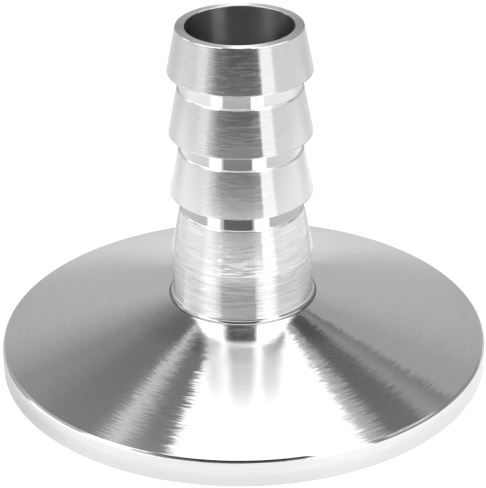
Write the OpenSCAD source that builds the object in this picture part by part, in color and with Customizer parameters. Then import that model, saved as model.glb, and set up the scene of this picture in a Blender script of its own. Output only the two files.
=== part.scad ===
// Vacuum flange with a barbed hose tail, turned from one bar of stainless steel.
// The flat sealing face lies on z = 0, and the bore runs up the Z axis.

/* [Flange] */
// Outside diameter of the flange
flange_d = 55; // [50:0.5:75]
// Height of the straight rim, up to where the clamp taper starts
rim_h = 3; // [2.2:0.1:6]
// Slope of the clamp taper, in degrees above the level
taper_angle = 15; // [8:0.5:25]
// Chamfer on the upper edge of the rim
rim_top_edge = 0.25; // [0.05:0.05:0.8]
// Chamfer on the lower edge of the rim
rim_foot_edge = 0.1; // [0.05:0.05:0.8]

/* [Centring recess] */
// Diameter of the recess in the sealing face that takes the centring ring
recess_d = 41.2; // [30:0.1:45]
// Depth of the recess
recess_depth = 3; // [1.5:0.1:4]
// Radius in the corner between the wall and the floor of the recess
recess_fillet = 0.4; // [0.1:0.05:1]
// Chamfer on the mouth of the recess
recess_edge = 0.3; // [0.05:0.05:0.8]

/* [Neck] */
// Outside diameter of the straight neck
neck_d = 15.8; // [13:0.1:24]
// Length of the straight neck, from the clamp taper to the lead-in below the barbs
neck_h = 5.55; // [1:0.05:40]
// Radius where the neck meets the clamp taper
neck_fillet = 0.6; // [0.1:0.1:0.9]

/* [Bore] */
// Wall between the bore and the bottom of a relief groove
wall = 0.8; // [0.4:0.05:3]
// Chamfer where the bore opens into the recess
bore_foot_edge = 0.4; // [0.05:0.05:1.5]
// Chamfer where the bore opens at the mouth
bore_mouth_edge = 0.05; // [0.05:0.05:0.4]

/* [Barbs] */
// Number of barbs
barb_count = 3; // [1:1:8]
// Diameter over the edge of a barb
barb_d = 15.8; // [12:0.1:19]
// Height of a barb's edge over the small end of its taper, in radius
barb_step = 1; // [0.3:0.05:1.8]
// Length of the taper from a small end down to the next edge
barb_taper_h = 5; // [2:0.1:12]
// Height of the narrow land that stiffens the edge of a barb
barb_land_h = 0.1; // [0.05:0.05:0.8]
// Depth of a relief groove below the small end of a taper, in radius
relief_step = 0.2; // [0.1:0.05:0.8]
// Height from the edge of a barb down to the small end of the next taper
relief_h = 2.1; // [1:0.1:6]
// Radius in both corners of a relief groove
relief_fillet = 0.15; // [0.05:0.05:0.4]
// Height by which the mouth cuts the topmost taper short
nose_trim = 0.1; // [0.05:0.05:1.5]
// Chamfer on the outer edge of the mouth
nose_edge = 0.05; // [0.05:0.05:0.4]

/* [Hidden] */
$fn = 180;

flange_r = flange_d / 2;
recess_r = recess_d / 2;
neck_r = neck_d / 2;
barb_r = barb_d / 2;
barb_tip_r = barb_r - barb_step;
relief_r = barb_tip_r - relief_step;
bore_r = relief_r - wall;

// Growth in radius for each millimetre down a barb's taper
barb_slope = barb_step / barb_taper_h;
// The tapers repeat at this distance along the tail
barb_pitch = barb_taper_h + relief_h;
// The topmost taper ends early, at the mouth
nose_h = barb_taper_h - nose_trim;
nose_r = barb_r - (nose_h - nose_edge) * barb_slope;

// Heights up the part, of which the first is kept to a thousandth of a millimetre
taper_top_z = round(1000 * (rim_h + (flange_r - neck_r) * tan(taper_angle))) / 1000;
neck_top_z = taper_top_z + neck_h;
lead_top_z = neck_top_z + abs(neck_r - barb_tip_r) / barb_slope;
mouth_z = lead_top_z + (barb_count - 1) * barb_pitch + relief_h + nose_h;

// A groove's corner radius leaves a sliver of the step that it blends
groove_fillet = min(relief_fillet, relief_step * 0.9);
// Cuts run on past the faces they open by this much
cut_past = 1;
// A fillet's circle is larger by this hair, so that it meets both of its faces
hair = 0.0001;

// Directions in the half-section: out from the axis, up, and down the clamp taper
out = [1, 0];
up = [0, 1];
down_taper = [cos(taper_angle), -sin(taper_angle)];

// Height of the small end of a taper, counted up from the neck
function tip_z(i) = lead_top_z + i * barb_pitch;
// Height of the underside of a barb, counted up from the neck
function back_z(i) = tip_z(i) + relief_h - barb_land_h;

// Centre of the fillet in a hollow corner, between the faces that leave it along u and v
function fillet_centre(corner, u, v, radius) =
    corner + (u + v) / norm(u + v) * radius / sin(acos(u * v) / 2);
// The corner filled as far as its fillet's centre, which the fillet's circle then cuts back
function filled_corner(corner, u, v, radius) =
    let (reach = radius / tan(acos(u * v) / 2))
    [corner + u * reach, fillet_centre(corner, u, v, radius), corner + v * reach];

// The circle that leaves a fillet in a filled corner
module fillet_cut(corner, u, v, radius) {
    translate(fillet_centre(corner, u, v, radius)) circle(r = radius + hair);
}

// One relief groove and the land of the barb above it, from the bottom up
function groove(i) = concat(
    [[barb_tip_r, tip_z(i)]],
    filled_corner([relief_r, tip_z(i)], out, up, groove_fillet),
    filled_corner([relief_r, back_z(i)], -up, out, groove_fillet),
    [[barb_r, back_z(i)], [barb_r, back_z(i) + barb_land_h]]
);

// Half of the outside, from the axis out: rim, clamp taper, neck, barbs and nose
module outside_profile() {
    rim = [
        [0, 0],
        [flange_r - rim_foot_edge, 0],
        [flange_r, rim_foot_edge],
        [flange_r, rim_h - rim_top_edge],
        [flange_r - rim_top_edge, rim_h + rim_top_edge * tan(taper_angle)]
    ];
    neck = concat(
        filled_corner([neck_r, taper_top_z], down_taper, up, neck_fillet),
        [[neck_r, neck_top_z]]
    );
    tail = [for (i = [0 : barb_count - 1]) each groove(i)];
    nose = [[nose_r, mouth_z - nose_edge], [nose_r - nose_edge, mouth_z], [0, mouth_z]];
    difference() {
        polygon(concat(rim, neck, tail, nose));
        fillet_cut([neck_r, taper_top_z], down_taper, up, neck_fillet);
        for (i = [0 : barb_count - 1]) {
            fillet_cut([relief_r, tip_z(i)], out, up, groove_fillet);
            fillet_cut([relief_r, back_z(i)], -up, out, groove_fillet);
        }
    }
}

// Half of the hollow: centring recess, bore and their chamfers
module hollow_profile() {
    mouth_reach = bore_mouth_edge + cut_past;
    difference() {
        polygon([
            [0, -cut_past],
            [recess_r + recess_edge + cut_past, -cut_past],
            [recess_r, recess_edge],
            [recess_r, recess_depth],
            [bore_r + bore_foot_edge, recess_depth],
            [bore_r, recess_depth + bore_foot_edge],
            [bore_r, mouth_z - bore_mouth_edge],
            [bore_r + mouth_reach, mouth_z + cut_past],
            [0, mouth_z + cut_past]
        ]);
        // The metal that the tool's nose leaves in the corner of the recess
        difference() {
            translate([recess_r - recess_fillet, recess_depth - recess_fillet])
            square(2 * recess_fillet);
            fillet_cut([recess_r, recess_depth], -up, -out, recess_fillet);
        }
    }
}

// The whole fitting, one revolved half-section
module flange_hose_barb() {
    color([0.78, 0.78, 0.79])
    rotate_extrude()
    difference() {
        outside_profile();
        hollow_profile();
    }
}

flange_hose_barb();
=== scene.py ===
"""Looks of a turned vacuum flange with a barbed hose tail: a turned mesh, its steel and a plain studio."""

from __future__ import annotations

import logging
import math
from dataclasses import dataclass, field
from enum import Enum
from typing import Any, Iterable, Union

import bmesh
import bpy
from mathutils import Matrix, Vector

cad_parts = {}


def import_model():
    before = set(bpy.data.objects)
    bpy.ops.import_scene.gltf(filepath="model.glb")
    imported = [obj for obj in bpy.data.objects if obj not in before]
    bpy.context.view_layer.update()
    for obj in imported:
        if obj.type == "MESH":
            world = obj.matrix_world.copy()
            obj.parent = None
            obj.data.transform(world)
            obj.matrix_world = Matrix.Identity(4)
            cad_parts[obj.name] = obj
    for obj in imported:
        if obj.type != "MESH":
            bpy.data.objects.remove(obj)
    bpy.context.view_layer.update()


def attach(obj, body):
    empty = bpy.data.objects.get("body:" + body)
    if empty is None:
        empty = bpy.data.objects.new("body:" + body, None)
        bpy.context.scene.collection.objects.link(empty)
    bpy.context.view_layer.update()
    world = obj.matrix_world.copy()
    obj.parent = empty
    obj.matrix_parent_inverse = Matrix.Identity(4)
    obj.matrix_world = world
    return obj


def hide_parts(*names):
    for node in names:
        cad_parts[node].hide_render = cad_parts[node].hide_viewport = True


LOG = logging.getLogger("hose_barb")
MM = 0.001
FULL_TURN = 2 * math.pi
NODE = "flange_hose_barb"
PHOTO_LONG_SIDE = 488


class Corner(Enum):
    """How a corner of the half-section is finished."""

    SHARP = "left as the cut leaves it"
    BROKEN = "broken by a hair, as a deburring tool leaves it"
    STONED = "rounded off with a stone, as on the small end of a taper"
    TOOL = "round, with the nose radius of the grooving tool"
    NECK = "round, with the radius at the foot of the neck"
    RECESS = "round, with the radius in the corner of the recess"


@dataclass(frozen=True)
class Point:
    """A corner of the half-section.

    Args:
        r: distance from the axis, in metres.
        z: height above the sealing face, in metres.
        corner: how it is finished.
    """

    r: float
    z: float
    corner: Corner = Corner.SHARP


@dataclass(frozen=True)
class FlangeSizes:
    """The quick-clamp flange, in metres.

    Args:
        radius: outside radius.
        rim_height: height of the straight rim, up to where the clamp taper starts.
        taper: slope of the clamp taper above the level, in radians.
        top_edge: chamfer on the rim's upper edge.
        foot_edge: chamfer on the rim's lower edge.
        recess_radius: radius of the centring recess in the sealing face.
        recess_depth: depth of the recess.
        recess_fillet: radius in the corner of the recess.
        recess_edge: chamfer on the mouth of the recess.
    """

    radius: float = 27.5 * MM
    rim_height: float = 3 * MM
    taper: float = math.radians(15)
    top_edge: float = 0.25 * MM
    foot_edge: float = 0.1 * MM
    recess_radius: float = 20.6 * MM
    recess_depth: float = 3 * MM
    recess_fillet: float = 0.4 * MM
    recess_edge: float = 0.3 * MM


@dataclass(frozen=True)
class TailSizes:
    """Neck, barbs and bore, in metres.

    Args:
        radius: radius of the neck and over the barbs.
        neck_height: length of the straight neck above the clamp taper.
        neck_fillet: radius where the neck meets the clamp taper.
        barbs: number of barbs.
        step: height of a barb's edge over the small end of its taper, in radius.
        taper_height: length of the taper from a small end down to the next edge.
        land: height of the narrow land at a barb's edge.
        relief_step: depth of a relief groove below the small end, in radius.
        relief_height: height from a small end up to the edge of the barb above it.
        relief_fillet: radius in both corners of a relief groove.
        nose_trim: height by which the mouth cuts the topmost taper short.
        nose_edge: chamfer on the outer edge of the mouth.
        wall: wall between the bore and the bottom of a relief groove.
        bore_foot_edge: chamfer where the bore opens into the recess.
        bore_mouth_edge: chamfer where the bore opens at the mouth.
    """

    radius: float = 7.9 * MM
    neck_height: float = 5.55 * MM
    neck_fillet: float = 0.6 * MM
    barbs: int = 3
    step: float = 1 * MM
    taper_height: float = 5 * MM
    land: float = 0.1 * MM
    relief_step: float = 0.2 * MM
    relief_height: float = 2.1 * MM
    relief_fillet: float = 0.15 * MM
    nose_trim: float = 0.1 * MM
    nose_edge: float = 0.05 * MM
    wall: float = 0.8 * MM
    bore_foot_edge: float = 0.4 * MM
    bore_mouth_edge: float = 0.05 * MM

    @property
    def pitch(self) -> float:
        """Distance from one barb to the next."""
        return self.taper_height + self.relief_height


@dataclass
class TurnedFitting:
    """The one solid: its half-section is drawn as a chain of edges, its corners are rounded, and it is spun.

    Args:
        flange: sizes of the flange.
        tail: sizes of the neck, the barbs and the bore.
        break_edge: how far a deburred corner reaches along its faces.
        break_steps: facets of a deburred corner.
        stoned_edge: how far a stoned corner reaches along its faces.
        stoned_steps: facets of a stoned corner.
        arc_steps: facets of a turned radius.
        hold_edge: length past a groove's radii at which a groove's wall is held flat.
        turn_steps: steps of the spin round the axis.
        smooth_below: facets that meet at less than this angle are shaded as one.
        chain_weld: points of the half-section nearer than this are one.
        turn_weld: points of the spun mesh nearer than this are one.
        same_place: a vertex this near to a corner of the outline is that corner.
    """

    flange: FlangeSizes = field(default_factory=FlangeSizes)
    tail: TailSizes = field(default_factory=TailSizes)
    break_edge: float = 0.02 * MM
    break_steps: int = 3
    stoned_edge: float = 0.045 * MM
    stoned_steps: int = 4
    arc_steps: int = 12
    hold_edge: float = 0.03 * MM
    turn_steps: int = 288
    smooth_below: float = math.radians(9)
    chain_weld: float = MM / 1000
    turn_weld: float = MM / 2000
    same_place: float = MM / 500

    @property
    def taper_top(self) -> float:
        """Height at which the clamp taper and the neck's wall would meet without their fillet."""
        return self.flange.rim_height + (self.flange.radius - self.tail.radius) * math.tan(self.flange.taper)

    @property
    def first_groove(self) -> float:
        """Height of the foot of the lowest relief groove."""
        return self.taper_top + self.tail.neck_height + self.tail.taper_height

    def rim(self) -> list[Point]:
        """The outline of the rim.

        Returns:
            The corners, from the lip of the recess to the foot of the clamp taper.
        """
        f = self.flange
        return [
            Point(f.recess_radius + f.recess_edge, 0),
            Point(f.radius - f.foot_edge, 0),
            Point(f.radius, f.foot_edge),
            Point(f.radius, f.rim_height - f.top_edge, Corner.BROKEN),
            Point(f.radius - f.top_edge, f.rim_height + f.top_edge * math.tan(f.taper), Corner.BROKEN),
        ]

    def groove(self, z: float) -> list[Point]:
        """The outline of a relief groove and the land of the barb above it.

        Args:
            z: height of the groove's foot.

        Returns:
            The corners, from the bottom up.
        """
        t = self.tail
        tip = t.radius - t.step
        relief = tip - t.relief_step
        back = z + t.relief_height - t.land
        hold = t.relief_fillet + self.hold_edge
        return [
            Point(tip, z, Corner.STONED),
            Point(relief, z, Corner.TOOL),
            Point(relief, z + hold),
            Point(relief, back - hold),
            Point(relief, back, Corner.TOOL),
            Point(t.radius, back, Corner.BROKEN),
            Point(t.radius, back + t.land, Corner.BROKEN),
        ]

    def mouth(self, z: float) -> list[Point]:
        """The outline of the mouth, the bore and the centring recess.

        Args:
            z: height of the mouth.

        Returns:
            The corners, from the mouth's outer edge down to the lip of the recess.
        """
        f, t = self.flange, self.tail
        slope = t.step / t.taper_height
        nose = t.radius - (t.taper_height - t.nose_trim - t.nose_edge) * slope
        bore = t.radius - t.step - t.relief_step - t.wall
        return [
            Point(nose, z - t.nose_edge),
            Point(nose - t.nose_edge, z),
            Point(bore + t.bore_mouth_edge, z),
            Point(bore, z - t.bore_mouth_edge),
            Point(bore, f.recess_depth + t.bore_foot_edge),
            Point(bore + t.bore_foot_edge, f.recess_depth),
            Point(f.recess_radius, f.recess_depth, Corner.RECESS),
            Point(f.recess_radius, f.recess_edge),
        ]

    def half_section(self) -> list[Point]:
        """The closed outline in radius and height, up the outside and down the bore.

        Returns:
            The corners in order, the last joined to the first.
        """
        t = self.tail
        outline = self.rim()
        outline.append(Point(t.radius, self.taper_top, Corner.NECK))
        outline.append(Point(t.radius, self.taper_top + t.neck_height))
        z = self.first_groove
        for _ in range(t.barbs):
            outline += self.groove(z)
            z += t.pitch
        return outline + self.mouth(z - t.nose_trim)

    def reaches(self) -> dict[Corner, tuple[float, int]]:
        """How each kind of round corner is cut.

        Returns:
            For each kind, how far it reaches along its faces, and its number of facets.
        """
        t, f = self.tail, self.flange
        neck_half_angle = math.radians(90) / 2 + f.taper / 2
        return {
            Corner.BROKEN: (self.break_edge, self.break_steps),
            Corner.STONED: (self.stoned_edge, self.stoned_steps),
            Corner.TOOL: (t.relief_fillet, self.arc_steps),
            Corner.NECK: (t.neck_fillet / math.tan(neck_half_angle), self.arc_steps),
            Corner.RECESS: (f.recess_fillet, self.arc_steps),
        }

    def draw_chain(self, outline: list[Point]) -> bpy.types.Object:
        """Draws the outline in the XZ plane, one vertex extruded from corner to corner.

        Args:
            outline: the closed half-section.

        Returns:
            The object, left in edit mode, with the chain closed.
        """
        bpy.ops.mesh.primitive_plane_add(size=self.flange.radius)
        piece = bpy.context.object
        bpy.ops.object.mode_set(mode="EDIT")
        bpy.ops.mesh.select_all(action="SELECT")
        bpy.ops.mesh.merge(type="CENTER")
        start = outline[0]
        bpy.ops.transform.translate(value=(start.r, 0, start.z))
        for here, there in zip(outline, outline[1:] + outline[:1]):
            step = (there.r - here.r, 0, there.z - here.z)
            bpy.ops.mesh.extrude_region_move(TRANSFORM_OT_translate={"value": step})
        bpy.ops.mesh.select_all(action="SELECT")
        bpy.ops.mesh.remove_doubles(threshold=self.chain_weld)
        return piece

    def round_corners(self, piece: bpy.types.Object, outline: list[Point]) -> None:
        """Rounds the chain's corners by vertex bevels, one kind of corner at a time.

        Args:
            piece: the chain, in edit mode.
            outline: the half-section that it was drawn from.
        """
        bpy.ops.mesh.select_mode(type="VERT")
        for kind, (reach, steps) in self.reaches().items():
            places = [Vector((p.r, 0, p.z)) for p in outline if p.corner is kind]
            bpy.ops.mesh.select_all(action="DESELECT")
            mesh = bmesh.from_edit_mesh(piece.data)
            for vertex in mesh.verts:
                vertex.select = any((vertex.co - place).length < self.same_place for place in places)
            mesh.select_flush_mode()
            bmesh.update_edit_mesh(piece.data)
            bpy.ops.mesh.bevel(offset=reach, segments=steps, affect="VERTICES", profile=0.5)

    def build(self) -> bpy.types.Object:
        """Turns the half-section round the Z axis.

        Returns:
            The finished mesh object, with its place in its mesh.
        """
        outline = self.half_section()
        piece = self.draw_chain(outline)
        self.round_corners(piece, outline)
        bpy.ops.mesh.select_all(action="SELECT")
        bpy.ops.mesh.spin(steps=self.turn_steps, angle=FULL_TURN, center=(0, 0, 0), axis=(0, 0, 1))
        bpy.ops.mesh.select_all(action="SELECT")
        bpy.ops.mesh.remove_doubles(threshold=self.turn_weld)
        bpy.ops.mesh.normals_make_consistent(inside=False)
        bpy.ops.object.mode_set(mode="OBJECT")
        piece.name = "turned_" + NODE
        piece.data.name = piece.name
        bpy.ops.object.shade_smooth_by_angle(angle=self.smooth_below)
        return piece

    def dress(self, piece: bpy.types.Object) -> None:
        """Gives the piece its steel, with the finish of each cut where the sizes put it.

        Args:
            piece: the mesh object that was built.
        """
        steel = TurnedSteel(first_groove=self.first_groove / MM, pitch=self.tail.pitch / MM)
        piece.data.materials.append(steel.build())


class Wire:
    """A value that runs through a node tree, with arithmetic that adds Math nodes."""

    def __init__(self, graph: Graph, socket: bpy.types.NodeSocket) -> None:
        """Wraps an output socket of one of the graph's nodes."""
        self.graph = graph
        self.socket = socket

    def __add__(self, other: Value) -> Wire:
        """This value plus the other."""
        return self.graph.math("ADD", self, other)

    def __radd__(self, other: Value) -> Wire:
        """The other plus this value."""
        return self.graph.math("ADD", other, self)

    def __sub__(self, other: Value) -> Wire:
        """This value less the other."""
        return self.graph.math("SUBTRACT", self, other)

    def __rsub__(self, other: Value) -> Wire:
        """The other less this value."""
        return self.graph.math("SUBTRACT", other, self)

    def __mul__(self, other: Value) -> Wire:
        """This value times the other."""
        return self.graph.math("MULTIPLY", self, other)

    def __rmul__(self, other: Value) -> Wire:
        """The other times this value."""
        return self.graph.math("MULTIPLY", other, self)

    def __truediv__(self, other: Value) -> Wire:
        """This value over the other."""
        return self.graph.math("DIVIDE", self, other)

    def __rtruediv__(self, other: Value) -> Wire:
        """The other over this value."""
        return self.graph.math("DIVIDE", other, self)

    def __neg__(self) -> Wire:
        """This value with its sign turned."""
        return self.graph.math("MULTIPLY", self, -1.0)


Value = Union[Wire, float, int]


class Graph:
    """Adds nodes to a tree and joins them."""

    def __init__(self, tree: bpy.types.NodeTree) -> None:
        """Wraps the node tree of a material or of the world."""
        self.tree = tree

    def node(self, kind: str, inputs: dict[str | int, Any] | None = None, **settings: Any) -> bpy.types.Node:
        """Adds one node, with its own properties set first.

        Args:
            kind: the node's type name.
            inputs: what goes into its sockets: wires or plain values.
            settings: its own properties.

        Returns:
            The node.
        """
        node = self.tree.nodes.new(kind)
        for key, value in settings.items():
            setattr(node, key, value)
        for key, value in (inputs or {}).items():
            if isinstance(value, Wire):
                self.tree.links.new(value.socket, node.inputs[key])
            else:
                node.inputs[key].default_value = value
        return node

    def wire(self, node: bpy.types.Node, output: str | int = 0) -> Wire:
        """The value that leaves a node."""
        return Wire(self, node.outputs[output])

    def math(self, operation: str, *values: Value) -> Wire:
        """One Math node on one, two or three values."""
        return self.wire(self.node("ShaderNodeMath", dict(enumerate(values)), operation=operation))

    def vector(self, operation: str, *values: Any) -> Wire:
        """One Vector Math node on one or more vectors."""
        return self.wire(self.node("ShaderNodeVectorMath", dict(enumerate(values)), operation=operation))

    def join(self, x: Value, y: Value, z: Value) -> Wire:
        """A vector from its three parts."""
        return self.wire(self.node("ShaderNodeCombineXYZ", {0: x, 1: y, 2: z}))

    def split(self, vector: Wire) -> tuple[Wire, Wire, Wire]:
        """A vector's three parts."""
        node = self.node("ShaderNodeSeparateXYZ", {0: vector})
        return self.wire(node, 0), self.wire(node, 1), self.wire(node, 2)

    def output(self, value: Wire, shader: bpy.types.Node, socket: str) -> None:
        """Leads a value into a socket of the tree's shader."""
        self.tree.links.new(value.socket, shader.inputs[socket])

    def length(self, x: Wire, y: Wire) -> Wire:
        """The length of a flat vector."""
        return self.math("SQRT", x * x + y * y)

    def rise(self, value: Wire, start: float, end: float, low: float = 0.0, high: float = 1.0) -> Wire:
        """A smooth rise, or fall, from low to high while the value goes from start to end."""
        span = {"Value": value, "From Min": start, "From Max": end, "To Min": low, "To Max": high}
        return self.wire(self.node("ShaderNodeMapRange", span, interpolation_type="SMOOTHSTEP"))

    def blend(self, low: Value, high: Value, share: Value) -> Wire:
        """A value that goes from low to high as the share goes from 0 to 1."""
        return low + (high - low) * share

    def azimuth(self, x: Wire, y: Wire) -> Wire:
        """Degrees round the Z axis, 0 toward the camera and growing to its right."""
        return self.math("ARCTAN2", x, -y) * math.degrees(1)


@dataclass(frozen=True)
class Ramp:
    """A value that rises or falls smoothly along some measure.

    Args:
        start: where it starts to change.
        end: where it stops changing.
        low: the value before the start.
        high: the value past the end.
    """

    start: float
    end: float
    low: float = 0.0
    high: float = 1.0

    def at(self, measure: Wire) -> Wire:
        """The value at a place of the measure."""
        return measure.graph.rise(measure, self.start, self.end, self.low, self.high)


@dataclass(frozen=True)
class Span:
    """A stretch of some measure over which something is on, with smooth ends.

    Args:
        start: where it starts to come on.
        full: where it is fully on.
        fade: where it starts to go off.
        end: where it is off again.
    """

    start: float
    full: float
    fade: float
    end: float

    def at(self, measure: Wire) -> Wire:
        """How far it is on at a place of the measure."""
        return Ramp(self.start, self.full).at(measure) * Ramp(self.fade, self.end, 1.0, 0.0).at(measure)


@dataclass(frozen=True)
class Card:
    """A card, flag or softbox of the studio, seen as a band of angles with soft sides.

    Args:
        start: where it starts, in degrees.
        end: where it ends.
        level: its brightness, where 1 is white.
        start_soft: width of the blend at its start, in degrees.
        end_soft: width of the blend at its end.
    """

    start: float
    end: float
    level: float
    start_soft: float = 2.0
    end_soft: float = 2.0

    def over(self, angle: Wire, below: Value) -> Wire:
        """Lays the card over what is already there.

        Args:
            angle: the angle that tells where the card is, in degrees.
            below: the level under the card.

        Returns:
            The level with the card on it.
        """
        soft = self.start_soft / 2
        end_soft = self.end_soft / 2
        span = Span(self.start - soft, self.start + soft, self.end - end_soft, self.end + end_soft)
        return angle.graph.blend(below, self.level, span.at(angle))


def lay(angle: Wire, base: Value, cards: Iterable[Card]) -> Wire:
    """Lays cards one over the other.

    Args:
        angle: the angle that tells where the cards are, in degrees.
        base: the level under them all.
        cards: the cards, from the bottom up.

    Returns:
        The level with all the cards on it.
    """
    level = base
    for card in cards:
        level = card.over(angle, level)
    return level


@dataclass(frozen=True)
class Tier:
    """Cards that stand over only a part of a height.

    Args:
        height: where they stand, along the measure of height in use.
        cards: the cards, from the bottom up.
    """

    height: Ramp | Span
    cards: tuple[Card, ...]

    def over(self, angle: Wire, height: Wire, below: Value) -> Wire:
        """Lays the tier over what is already there."""
        return angle.graph.blend(below, lay(angle, below, self.cards), self.height.at(height))


@dataclass(frozen=True)
class Ring:
    """A ring of the table with a level of its own.

    Args:
        level: its brightness, where 1 is white.
        reach: the distances from the axis that it covers, in millimetres.
    """

    level: float
    reach: Ramp | Span

    def over(self, reach: Wire, below: Value) -> Wire:
        """Lays the ring over what is already there."""
        return reach.graph.blend(below, self.level, self.reach.at(reach))


@dataclass(frozen=True)
class TurnedSteel:
    """Bright stainless steel with fine lines round the axis.

    Heights run up from the sealing face and radii out from the axis, both in millimetres. Colours,
    roughnesses and strengths are shares of one.

    Args:
        first_groove: height of the foot of the lowest relief groove.
        pitch: distance from one groove to the next.
        color: how much light the bare steel gives back.
        neck_color: the same for the polished neck.
        edge_painted_highlight: the same for the ledges and lands of the barbs, lightened as painted
            highlight.
        foot_painted_shade: colour of the two dark lines of painted shade in the fillet at the neck's foot.
        rim_edge_painted_shade: the same for the chamfer on the rim, darkened as painted shade.
        bore_painted_shade: the bore's colour, darkened as painted shade inside it.
        anisotropic: how far the turning lines stretch a reflection.
        line_turn: the turn of the lines against the surface, as a share of a full turn.
        root_roughness: roughness of the clamp taper next to the neck.
        flange_roughness: roughness of the rest of the flange.
        neck_roughness: roughness of the neck.
        barb_roughness: roughness of the barbs.
        groove_roughness: roughness of the relief grooves.
        land_roughness: roughness of the lands.
        rim_edge_roughness: roughness of the chamfer on the rim.
        bore_roughness: roughness of the bore.
        flange_lines: how much the marks shade the flange.
        tail_lines: how much they shade the tail.
        neck_lines: how much the coarse marks shade the neck and the lead-in besides.
        flange_tilt: how far the marks tilt the flange's surface up and down.
        tail_tilt: the same on the tail.
        neck_tilt: what the coarse marks add on the neck and the lead-in.
        flange_sideways: how far the marks turn the flange's surface round the axis.
        tail_sideways: the same on the tail.
        barb_score: how much the marks roughen the barbs.
        neck_score: how much they roughen the neck and the lead-in.
        mark_spacing: distance between marks.
        coarse_spacing: distance between coarse marks.
        mark_turn: length of a mark as a share of the radius.
        coarse_turn: length of a coarse mark.
        cross_turn: length of the marks that turn the surface round the axis.
        cross_offset: distance that keeps those marks apart from the others.
        off_bore: radii over which the bore's finish ends.
        off_root: radii over which the clamp taper's root turns into the rest of the flange.
        above_taper: heights over which the neck's finish takes over from the flange's.
        below_lead_in: heights over which the neck's brightness ends.
        onto_barbs: heights over which the barbs' roughness takes over.
        onto_tail: heights over which the tail's marks take over from the flange's.
        below_barbs: heights over which the coarse marks end.
        smooth_mouth: strength of the marks up to the mouth and on it.
        lower_foot_shade: heights of the lower of the two lines of painted shade at the neck's foot.
        upper_foot_shade: heights of the upper one.
        upper_shade_share: strength of the upper one.
        rim_edge_out: radii over which the chamfer on the rim starts.
        rim_edge_up: heights over which it starts.
        first_small_end: where the grooves begin, by height from the foot of the lowest.
        small_end: the rounded corner under a groove, by height from the groove's foot.
        ledge: the ledge at a groove's foot, by the same height.
        groove: the groove itself, by the same height.
        land: the land over a groove, by the same height.
        scored: values of a mark over which it comes to roughen the steel.
    """

    first_groove: float
    pitch: float
    color: float = 0.82
    neck_color: float = 0.93
    edge_painted_highlight: float = 1.0
    foot_painted_shade: float = 0.3
    rim_edge_painted_shade: float = 0.7
    bore_painted_shade: float = 0.3
    anisotropic: float = 1.0
    line_turn: float = 0.25
    root_roughness: float = 0.085
    flange_roughness: float = 0.14
    neck_roughness: float = 0.09
    barb_roughness: float = 0.09
    groove_roughness: float = 0.05
    land_roughness: float = 0.5
    rim_edge_roughness: float = 0.07
    bore_roughness: float = 0.3
    flange_lines: float = 0.12
    tail_lines: float = 0.2
    neck_lines: float = 0.5
    flange_tilt: float = 0.05
    tail_tilt: float = 0.05
    neck_tilt: float = 0.02
    flange_sideways: float = 0.06
    tail_sideways: float = 0.025
    barb_score: float = 0.06
    neck_score: float = 0.1
    mark_spacing: float = 0.14
    coarse_spacing: float = 0.28
    mark_turn: float = 0.18
    coarse_turn: float = 0.54
    cross_turn: float = 0.09
    cross_offset: float = 50.0
    off_bore: Ramp = Ramp(5.9, 5.95)
    off_root: Ramp = Ramp(11, 14)
    above_taper: Ramp = Ramp(8.0, 8.6)
    below_lead_in: Ramp = Ramp(13.6, 14.0, 1, 0)
    onto_barbs: Ramp = Ramp(12.5, 15.0)
    onto_tail: Ramp = Ramp(8.2, 8.7)
    below_barbs: Ramp = Ramp(18.6, 18.9, 1, 0)
    smooth_mouth: Ramp = Ramp(39.9, 39.95, 1, 0.2)
    # painted shade: two dark lines in the fillet at the neck's foot
    lower_foot_shade: Span = Span(8.12, 8.14, 8.26, 8.3)
    upper_foot_shade: Span = Span(8.35, 8.37, 8.46, 8.49)
    upper_shade_share: float = 0.85
    rim_edge_out: Ramp = Ramp(27.2, 27.28)
    rim_edge_up: Ramp = Ramp(2.68, 2.76)
    first_small_end: Ramp = Ramp(-0.1, -0.05)
    small_end: Ramp = Ramp(-0.05, -0.03)
    ledge: Ramp = Ramp(0.1, 0.14, 1, 0)
    groove: Ramp = Ramp(1.98, 2.0, 1, 0)
    land: Span = Span(2.0, 2.02, 2.1, 2.13)
    scored: Ramp = Ramp(-0.08, 0.2)

    def grooves(self, height: Wire) -> tuple[Wire, Wire, Wire]:
        """Where the grooving tool has been.

        Args:
            height: height above the sealing face, in millimetres.

        Returns:
            The whole grooves, the ledges at their feet, and the matt lands over them; ledges and lands get a
            painted highlight.
        """
        graph = height.graph
        above_foot = height - self.first_groove
        phase = graph.math("FLOORED_MODULO", above_foot, self.pitch)
        tail = self.first_small_end.at(above_foot)
        next_foot = self.small_end.at(phase - self.pitch)
        ledge = (self.ledge.at(phase) + next_foot) * tail
        groove = (self.groove.at(phase) + next_foot) * tail
        return groove, ledge, self.land.at(phase) * tail

    def foot_shade_lines(self, height: Wire) -> Wire:
        """Where shade is painted: two dark lines in the fillet at the neck's foot."""
        return self.lower_foot_shade.at(height) + self.upper_foot_shade.at(height) * self.upper_shade_share

    def rim_edge(self, radius: Wire, height: Wire) -> Wire:
        """Where the upper edge of the rim is chamfered."""
        return self.rim_edge_out.at(radius) * self.rim_edge_up.at(height)

    def marks(self, way: tuple[Wire, Wire], along: Wire, spacing: float, turn: float) -> Wire:
        """Marks that run round the part.

        Args:
            way: the direction from the axis, as its X and Y.
            along: distance along the half-section, in millimetres.
            spacing: distance between marks, in millimetres.
            turn: length of a mark as a share of the radius.

        Returns:
            A value about 0, at most 0.5 either way.
        """
        graph = along.graph
        spot = graph.join(way[0] / turn + 0.5, way[1] / turn, along / spacing)
        inputs = {"Vector": spot, "Scale": 1.0, "Detail": 1.0, "Roughness": 0.6}
        return graph.wire(graph.node("ShaderNodeTexNoise", inputs)) - 0.5

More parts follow.
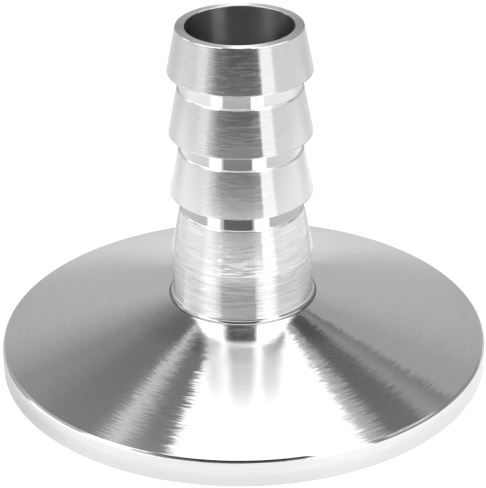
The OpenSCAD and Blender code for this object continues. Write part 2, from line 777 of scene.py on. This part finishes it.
    def tilted(self, way: tuple[Wire, Wire], across: Wire, sideways: Wire) -> Wire:
        """The surface's normal, tilted by the marks.

        Args:
            way: the direction from the axis, as its X and Y.
            across: how far it is tilted along the half-section.
            sideways: how far it is turned round the axis.

        Returns:
            The normal, of length 1.
        """
        graph = across.graph
        nx, ny, nz = graph.split(graph.wire(graph.node("ShaderNodeNewGeometry"), "Normal"))
        outward = nx * way[0] + ny * way[1]
        tilted_x = nx - across * nz * way[0] - sideways * way[1]
        tilted_y = ny - across * nz * way[1] + sideways * way[0]
        return graph.vector("NORMALIZE", graph.join(tilted_x, tilted_y, nz + across * outward))

    def marked(self, x: Wire, y: Wire, height: Wire, face: Wire) -> tuple[Wire, Wire, Wire]:
        """What the marks of the tool do to the surface.

        Args:
            x: place on the part, in metres.
            y: place on the part, in metres.
            height: height above the sealing face, in millimetres.
            face: where the marks show, from 0 to 1.

        Returns:
            The tilted normal, the share of light that the marks let through, and the roughness that they add.
        """
        graph = height.graph
        radius = graph.length(x, y) / MM
        way = (x / MM / radius, y / MM / radius)
        along = height - radius
        tail = self.onto_tail.at(height)
        face = face * self.smooth_mouth.at(height)
        fine = self.marks(way, along, self.mark_spacing, self.mark_turn)
        coarse = self.marks(way, along, self.coarse_spacing, self.coarse_turn)
        cross = self.marks(way, along + self.cross_offset, self.mark_spacing, self.cross_turn)
        neck = tail * self.below_barbs.at(height)
        across = fine * face * graph.blend(self.flange_tilt, self.tail_tilt, tail)
        across = across + coarse * neck * self.neck_tilt
        sideways = cross * face * graph.blend(self.flange_sideways, self.tail_sideways, tail)
        lines = 1 + fine * face * graph.blend(self.flange_lines, self.tail_lines, tail)
        lines = lines + coarse * neck * self.neck_lines
        score = self.scored.at(fine) * graph.blend(self.barb_score, self.neck_score, neck)
        return self.tilted(way, across, sideways), lines, score * face * tail

    def roughness(self, radius: Wire, height: Wire) -> Wire:
        """The roughness of each cut, by where it lies on the part.

        Args:
            radius: distance from the axis, in millimetres.
            height: height above the sealing face, in millimetres.

        Returns:
            The roughness, without what the marks add.
        """
        graph = height.graph
        groove, _, land = self.grooves(height)
        cut = graph.blend(self.root_roughness, self.flange_roughness, self.off_root.at(radius))
        cut = graph.blend(cut, self.neck_roughness, self.above_taper.at(height))
        cut = graph.blend(cut, self.barb_roughness, self.onto_barbs.at(height))
        cut = graph.blend(cut, self.groove_roughness, groove)
        cut = graph.blend(cut, self.land_roughness, land)
        cut = graph.blend(cut, self.rim_edge_roughness, self.rim_edge(radius, height))
        return graph.blend(self.bore_roughness, cut, self.off_bore.at(radius))

    def brightness(self, radius: Wire, height: Wire) -> Wire:
        """How much light each cut gives back, with painted shade and painted highlight laid into it.

        Args:
            radius: distance from the axis, in millimetres.
            height: height above the sealing face, in millimetres.

        Returns:
            The brightness, without the shade of the marks.
        """
        graph = height.graph
        _, ledge, land = self.grooves(height)
        neck = self.above_taper.at(height) * self.below_lead_in.at(height)
        bright = graph.blend(self.color, self.neck_color, neck)
        # painted highlight: the ledges and lands of the barbs are lightened
        bright = graph.blend(bright, self.edge_painted_highlight, ledge + land)
        # painted shade: two dark lines in the fillet at the neck's foot
        bright = graph.blend(bright, self.foot_painted_shade, self.foot_shade_lines(height))
        # painted shade: the chamfer on the rim is darkened
        bright = graph.blend(bright, self.rim_edge_painted_shade, self.rim_edge(radius, height))
        # painted shade: the colour inside the bore is darkened
        return graph.blend(self.bore_painted_shade, bright, self.off_bore.at(radius))

    def build(self) -> bpy.types.Material:
        """Makes the material.

        Returns:
            The finished material.
        """
        material = bpy.data.materials.new("turned_stainless_steel")
        material.use_nodes = True
        graph = Graph(material.node_tree)
        shader = material.node_tree.nodes["Principled BSDF"]
        x, y, z = graph.split(graph.wire(graph.node("ShaderNodeTexCoord"), "Object"))
        height = z / MM
        radius = graph.length(x, y) / MM
        groove, _, _ = self.grooves(height)
        normal, lines, score = self.marked(x, y, height, 1 - groove)
        graph.output(self.brightness(radius, height) * lines, shader, "Base Color")
        graph.output(normal, shader, "Normal")
        graph.output(self.roughness(radius, height) + score, shader, "Roughness")
        shader.inputs["Metallic"].default_value = 1
        shader.inputs["Anisotropic"].default_value = self.anisotropic
        shader.inputs["Anisotropic Rotation"].default_value = self.line_turn
        return material


@dataclass(frozen=True)
class PhotoCamera:
    """The camera, as solved from the outline in the photograph.

    Args:
        distance: distance from the part's axis, on the level.
        height: height above the table.
        turn: how far it looks to the right of the axis.
        down: how far it looks down.
        roll: how far it leans.
        focal_pixels: focal length in pixels of the photograph.
        sensor: width of its sensor, in millimetres.
        nearest: distance from which it sees.
        farthest: distance to which it sees.
    """

    distance: float = 191.097 * MM
    height: float = 112.205 * MM
    turn: float = math.radians(0.023)
    down: float = math.radians(27.2205)
    roll: float = math.radians(-0.7183)
    focal_pixels: float = 1916.06
    sensor: float = 36.0
    nearest: float = 0.01
    farthest: float = 10.0

    def build(self) -> bpy.types.Object:
        """Adds the camera and makes it the scene's own.

        Returns:
            The camera object.
        """
        data = bpy.data.cameras.new("photo_camera")
        data.sensor_width = self.sensor
        data.lens = self.focal_pixels / PHOTO_LONG_SIDE * data.sensor_width
        data.clip_start = self.nearest
        data.clip_end = self.farthest
        camera = bpy.data.objects.new("photo_camera", data)
        bpy.context.collection.objects.link(camera)
        camera.matrix_world = (
            Matrix.Translation((0, -self.distance, self.height))
            @ Matrix.Rotation(-self.turn, 4, "Z")
            @ Matrix.Rotation(math.radians(90) - self.down, 4, "X")
            @ Matrix.Rotation(self.roll, 4, "Z")
        )
        bpy.context.scene.camera = camera
        return camera


# Cards of the walls, one on either side of the camera, which the table shows too, far from the part
LEFT_WALL = Card(-72, -54, 0.8, 8, 6)
RIGHT_WALL = Card(33, 54, 1.0, 3, 6)


@dataclass(frozen=True)
class Surround:
    """The studio round the part: cards above and behind, which show on the clamp taper, and walls.

    Each direction is known by the normal that would mirror it to the camera. Its fan is that normal's
    angle round the Z axis, so that a card of the fan shows on the clamp taper as a wedge at the same angle.
    Its tilt is the normal's angle from upright: 15 degrees on the taper, 0 on the mouth and 90 on the neck.
    The walls are told by angles round the Z axis and above the level instead. All are in degrees.

    Args:
        toward_camera: the direction in which the camera stands.
        mouth_mirror: share of the fan's Y at the direction that the middle of the mouth mirrors.
        off_mouth: where, off that direction, the mouth's ring ends and the fan starts.
        mouth_base: level behind the cards of the mouth.
        mouth_band: cards that the mouth mirrors.
        taper_base: level behind the cards of the fan.
        fan: cards that the clamp taper mirrors.
        high_tiers: softboxes over the fan, for what the foot of the clamp taper mirrors.
        onto_walls: tilts over which the walls take over from the fan.
        low_tiers: softboxes before the walls, for the same.
        wall_base: level of the bare walls.
        walls: cards along the walls.
        wall_tiers: flags and lights that stand higher up the walls.
        ceiling_level: level of the ceiling.
        ceiling_flag: the flag under the ceiling before the part.
        onto_ceiling: heights over which the ceiling takes over from the walls.
        overhead: level right overhead, from the back to the front.
        onto_overhead: heights over which the light overhead takes over.
    """

    toward_camera: tuple[float, float, float] = (0, -0.8893, 0.4574)
    mouth_mirror: float = 0.0567
    off_mouth: Ramp = Ramp(0.13, 0.19)
    mouth_base: float = 0.33
    mouth_band: tuple[Card, ...] = (
        Card(-22, 40, 1.5, 6, 7),
        Card(157, 190, 1.5, 5, 2),
        Card(-190, -142, 1.5, 2, 7),
    )
    taper_base: float = 0.51
    fan: tuple[Card, ...] = (
        Card(-76, 0, 0.31, 26, 2),
        Card(0, 74, 0.4, 2, 34),
        Card(-60, -34, 0.15, 28, 2),
        Card(-37.5, -29, 0.3, 1.6, 4),
        Card(-36, -32, 0.6, 3.5, 5),
        Card(-28.5, -19.3, 0.09, 5, 1.5),
        Card(-18.7, 31.2, 1.4, 2, 4.5),
        Card(30.5, 36.2, 0.44, 3, 5),
        Card(36.2, 49, 0.09, 4, 7),
        Card(49.5, 53.5, 0.27, 4, 2.5),
        Card(53.3, 57.6, 0.2, 2.5, 1.6),
        Card(57.2, 70, 0.4, 1.6, 10),
        Card(128, 162, 0.4, 12, 8),
        Card(-164, -128, 0.4, 8, 12),
        Card(167, 190, 0.9, 8, 2),
        Card(172, 190, 1.5, 5, 2),
        Card(-190, -168, 1.2, 2, 8),
        Card(-190, -172, 1.6, 2, 5),
    )
    high_tiers: tuple[Tier, ...] = (
        Tier(Ramp(25, 29), (Card(-17, 29, 3.0, 3, 5),)),
        Tier(Ramp(26, 29), (Card(-38, -17, 1.6, 4, 3),)),
    )
    onto_walls: Ramp = Ramp(29, 33)
    low_tiers: tuple[Tier, ...] = (
        Tier(Span(31, 35, 42, 44.5), (Card(-63, -53, 1.9, 3, 3), Card(26, 49, 1.9, 3, 3))),
        Tier(Span(53.5, 55, 55, 56), (Card(34, 49, 1.9, 3, 3),)),
        Tier(Span(57, 60, 62, 65), (Card(-58, 26, 3.0, 4, 4),)),
    )
    wall_base: float = 0.74
    walls: tuple[Card, ...] = (
        LEFT_WALL,
        Card(-46, 29.5, 0.2, 22, 1.5),
        Card(-22, 22, 0.08, 20, 14),
        RIGHT_WALL,
        Card(-200, -80, 0.62, 2, 20),
        Card(-200, -112, 0.5, 2, 50),
        Card(-200, -142, 0.3, 2, 20),
        Card(80, 200, 0.62, 20, 2),
        Card(100, 200, 0.4, 40, 2),
        Card(148, 200, 0.33, 20, 2),
    )
    wall_tiers: tuple[Tier, ...] = (
        Tier(Ramp(5, 20), (Card(-150, -76, 0.58, 20, 8), Card(62, 140, 0.32, 8, 40))),
        Tier(Ramp(12, 20), (Card(-78, -58, 2.6, 6, 6), Card(40, 60, 2.6, 6, 6))),
    )
    ceiling_level: float = 1.9
    ceiling_flag: Card = Card(-50, 35, 0.03, 4, 4)
    onto_ceiling: Ramp = Ramp(38, 46)
    overhead: Ramp = Ramp(0.0, 0.07, 3.0, 2.1)
    onto_overhead: Ramp = Ramp(73, 78)

    def build(self) -> None:
        """Sets the world: white to the camera, and the cards to everything else."""
        world = bpy.data.worlds.new("studio_surround")
        world.use_nodes = True
        bpy.context.scene.world = world
        graph = Graph(world.node_tree)
        way = graph.wire(graph.node("ShaderNodeTexCoord"), "Generated")
        half = graph.vector("NORMALIZE", graph.vector("ADD", way, self.toward_camera))
        half_x, half_y, half_z = graph.split(half)
        tilt = graph.math("ARCCOSINE", half_z) * math.degrees(1)
        fan = graph.azimuth(half_x, half_y)
        above = lay(fan, self.taper_base, self.fan)
        behind = half_y - self.mouth_mirror
        mouth = lay(graph.azimuth(half_x, behind), self.mouth_base, self.mouth_band)
        level = graph.blend(mouth, above, self.off_mouth.at(graph.length(half_x, behind)))
        for tier in self.high_tiers:
            level = tier.over(fan, tilt, level)
        level = graph.blend(level, self.wall_level(way), self.onto_walls.at(tilt))
        for tier in self.low_tiers:
            level = tier.over(fan, tilt, level)
        to_camera = graph.wire(graph.node("ShaderNodeLightPath"), "Is Camera Ray")
        graph.output(graph.blend(level, 1.0, to_camera), world.node_tree.nodes["Background"], "Color")

    def wall_level(self, way: Wire) -> Wire:
        """How bright the walls and the ceiling are.

        Args:
            way: the direction of the view into the surround.

        Returns:
            The level, where 1 is white.
        """
        graph = way.graph
        x, y, z = graph.split(way)
        round_about = graph.azimuth(x, y)
        up = graph.math("ARCSINE", z) * math.degrees(1)
        level = lay(round_about, self.wall_base, self.walls)
        for tier in self.wall_tiers:
            level = tier.over(round_about, up, level)
        ceiling = self.ceiling_flag.over(round_about, self.ceiling_level)
        level = graph.blend(level, ceiling, self.onto_ceiling.at(up))
        return graph.blend(level, self.overhead.at(-y), self.onto_overhead.at(up))


@dataclass(frozen=True)
class Table:
    """The table that the flange stands on: plain and pale to the camera, with rings and strips for the steel.

    Distances run from the part's axis, in millimetres, except where they are said to run from the centre of
    the painted shadow round the part, a point nearer to the camera. Angles go round the axis, in degrees, 0
    toward the camera.

    Args:
        size: width of the table, in metres.
        shade: its own colour, on which the part's shadow falls.
        pale: how bright it is to the camera.
        room_light: what its own colour adds to its level in the light of the room.
        shadow_centre: distance from the axis, toward the camera, of the centre of the painted shadow round
            the part.
        side: level at the sides, by the distance from the shadow's centre; lower near the part as painted
            shadow.
        side_ring: the ring far out at the sides.
        back: level at the back, lower close to the part as painted shadow.
        back_rings: rings at the back.
        round_back: angles either way over which the back takes over from the sides.
        back_card: the bright card at the back, by its distance.
        behind: angles either way over which that card shows.
        front: level at the front, by the distance from the shadow's centre; lower near the part as painted
            shadow.
        front_rings: rings at the front.
        near_front: where the front lies close to the part.
        near_strips: strips of light close to the part.
        strip_spread: how much closer together the strips come for each millimetre out.
        strip_start: distance at which they lie at their own angles.
        middle_front: where the front lies farther out.
        middle_strips: strips of light farther out.
        onto_middle: distances over which those take over.
        far_front: where the front lies in the distance.
        onto_far: distances over which the distance takes over.
        foot: level of the ring under the flange's edge.
        foot_left_shadow: how much darker it is at the left, as painted contact shadow.
        foot_right: how much brighter it is at the right.
        open: level of the ring outside the flange's edge.
        open_right: how much brighter that is at the right.
        onto_open: distances over which it takes over.
        onto_table: distances over which the table beyond takes over.
    """

    size: float = 4.0
    shade: float = 0.2
    pale: float = 0.9
    room_light: float = 0.15
    shadow_centre: float = 10.0
    side: Ramp = Ramp(38, 88, 0.5, 0.94)
    side_ring: Ring = Ring(0.68, Ramp(110, 230))
    back: Ramp = Ramp(46, 55, 0.55, 0.92)
    back_rings: tuple[Ring, ...] = (Ring(0.7, Ramp(56, 95)), Ring(0.6, Ramp(110, 160)))
    round_back: Ramp = Ramp(100, 130)
    back_card: Ring = Ring(1.4, Ramp(105, 150))
    behind: Ramp = Ramp(166, 176)
    front: Ramp = Ramp(28, 112, 0.04, 0.68)
    front_rings: tuple[Ring, ...] = (
        Ring(0.26, Ramp(180, 230)),
        Ring(0.05, Ramp(270, 560)),
        Ring(0.06, Span(160, 180, 230, 260)),
        Ring(2.4, Span(97, 105, 126, 150)),
    )
    near_front: Span = Span(-34, -30, 17, 20)
    near_strips: tuple[Card, ...] = (Card(-62, -38, 1.3, 9, 5), Card(21.3, 48, 1.3, 4, 6))
    strip_spread: float = 0.0045
    strip_start: float = 50.0
    middle_front: Span = Span(-41, -37, 26, 30)
    middle_strips: tuple[Card, ...] = (Card(-63, -41, 1.3, 4, 3), Card(28, 54, 1.6, 2, 2))
    onto_middle: Ramp = Ramp(92, 98)
    far_front: Span = Span(-62, -30, 31, 34)
    onto_far: Ramp = Ramp(112, 140)
    foot: float = 0.89
    foot_left_shadow: Ramp = Ramp(-62, -38, 0.2, 0.0)
    foot_right: Ramp = Ramp(5, 25, 0, 0.06)
    open: float = 1.02
    open_right: Ramp = Ramp(5, 25, 0, 0.05)
    onto_open: Ramp = Ramp(29, 31)
    onto_table: Ramp = Ramp(37, 42)

    def sides_and_back(self, round_about: Wire, reach: Wire, from_shadow_centre: Wire) -> Wire:
        """How bright the table is beside and behind the part.

        Args:
            round_about: angle round the axis, in degrees.
            reach: distance from the axis, in millimetres.
            from_shadow_centre: distance from the centre of the painted shadow, in millimetres.

        Returns:
            The level, where 1 is white.
        """
        graph = reach.graph
        away = graph.math("ABSOLUTE", round_about)
        # painted shadow: the back is darker close to the part
        back = self.back.at(reach)
        for ring in self.back_rings:
            back = ring.over(reach, back)
        # painted shadow: the sides are darker near the part
        level = self.side_ring.over(reach, self.side.at(from_shadow_centre))
        level = graph.blend(level, back, self.round_back.at(away))
        behind = self.behind.at(away) * self.back_card.reach.at(reach)
        return graph.blend(level, self.back_card.level, behind)

    def under_flange(self, round_about: Wire, reach: Wire) -> Wire:
        """How bright the table is round the flange's edge.

        Args:
            round_about: angle round the axis, in degrees.
            reach: distance from the axis, in millimetres.

        Returns:
            The level, where 1 is white.
        """
        # painted contact shadow: the ring under the flange's edge is darker at the left
        foot = self.foot - self.foot_left_shadow.at(round_about) + self.foot_right.at(round_about)
        open_ring = self.open + self.open_right.at(round_about)
        return reach.graph.blend(foot, open_ring, self.onto_open.at(reach))

    def level(self, graph: Graph) -> Wire:
        """How bright the table is where the steel mirrors it.

        Args:
            graph: the table's nodes.

        Returns:
            The level, where 1 is white.
        """
        x, y, _ = graph.split(graph.wire(graph.node("ShaderNodeTexCoord"), "Object"))
        reach = graph.length(x, y) / MM
        # centre of the painted shadow, shifted toward the camera
        from_shadow_centre = graph.length(x / MM, y / MM + self.shadow_centre)
        round_about = graph.azimuth(x, y)
        side = self.sides_and_back(round_about, reach, from_shadow_centre)
        # painted shadow: the front is darker near the part
        front = self.front.at(from_shadow_centre)
        for ring in self.front_rings:
            front = ring.over(reach, front)
        near = graph.blend(side, front, self.near_front.at(round_about))
        spread = round_about * (1 + self.strip_spread * (reach - self.strip_start))
        near = lay(spread, near, self.near_strips)
        middle = graph.blend(side, front, self.middle_front.at(round_about))
        middle = lay(round_about, middle, self.middle_strips)
        far = graph.blend(LEFT_WALL.over(round_about, side), front, self.far_front.at(round_about))
        far = RIGHT_WALL.over(round_about, far)
        level = graph.blend(near, middle, self.onto_middle.at(reach))
        level = graph.blend(level, far, self.onto_far.at(reach))
        return graph.blend(self.under_flange(round_about, reach), level, self.onto_table.at(reach))

    def build(self) -> bpy.types.Object:
        """Adds the table.

        Returns:
            The table object.
        """
        bpy.ops.mesh.primitive_plane_add(size=self.size)
        floor = bpy.context.object
        floor.name = "studio_floor"
        material = bpy.data.materials.new("studio_floor")
        material.use_nodes = True
        graph = Graph(material.node_tree)
        shader = material.node_tree.nodes["Principled BSDF"]
        shader.inputs["Base Color"].default_value = (self.shade, self.shade, self.shade, 1)
        shader.inputs["Roughness"].default_value = 1
        shader.inputs["Specular IOR Level"].default_value = 0
        to_camera = graph.wire(graph.node("ShaderNodeLightPath"), "Is Camera Ray")
        level = graph.blend(self.level(graph) - self.room_light, self.pale, to_camera)
        graph.output(level, shader, "Emission Color")
        shader.inputs["Emission Strength"].default_value = 1
        material.cycles.emission_sampling = "NONE"
        floor.data.materials.append(material)
        return floor


def main() -> None:
    """Builds the fitting, its finish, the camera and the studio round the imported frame."""
    logging.basicConfig(level=logging.INFO, format="%(name)s: %(message)s")
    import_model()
    bpy.ops.object.select_all(action="DESELECT")
    bpy.context.scene.view_settings.view_transform = "Standard"
    PhotoCamera().build()
    turned = TurnedFitting()
    fitting = turned.build()
    turned.dress(fitting)
    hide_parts(NODE)
    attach(fitting, "root")
    LOG.info("%s: %d faces", fitting.name, len(fitting.data.polygons))
    Surround().build()
    Table().build()


if __name__ == "__main__":
    main()
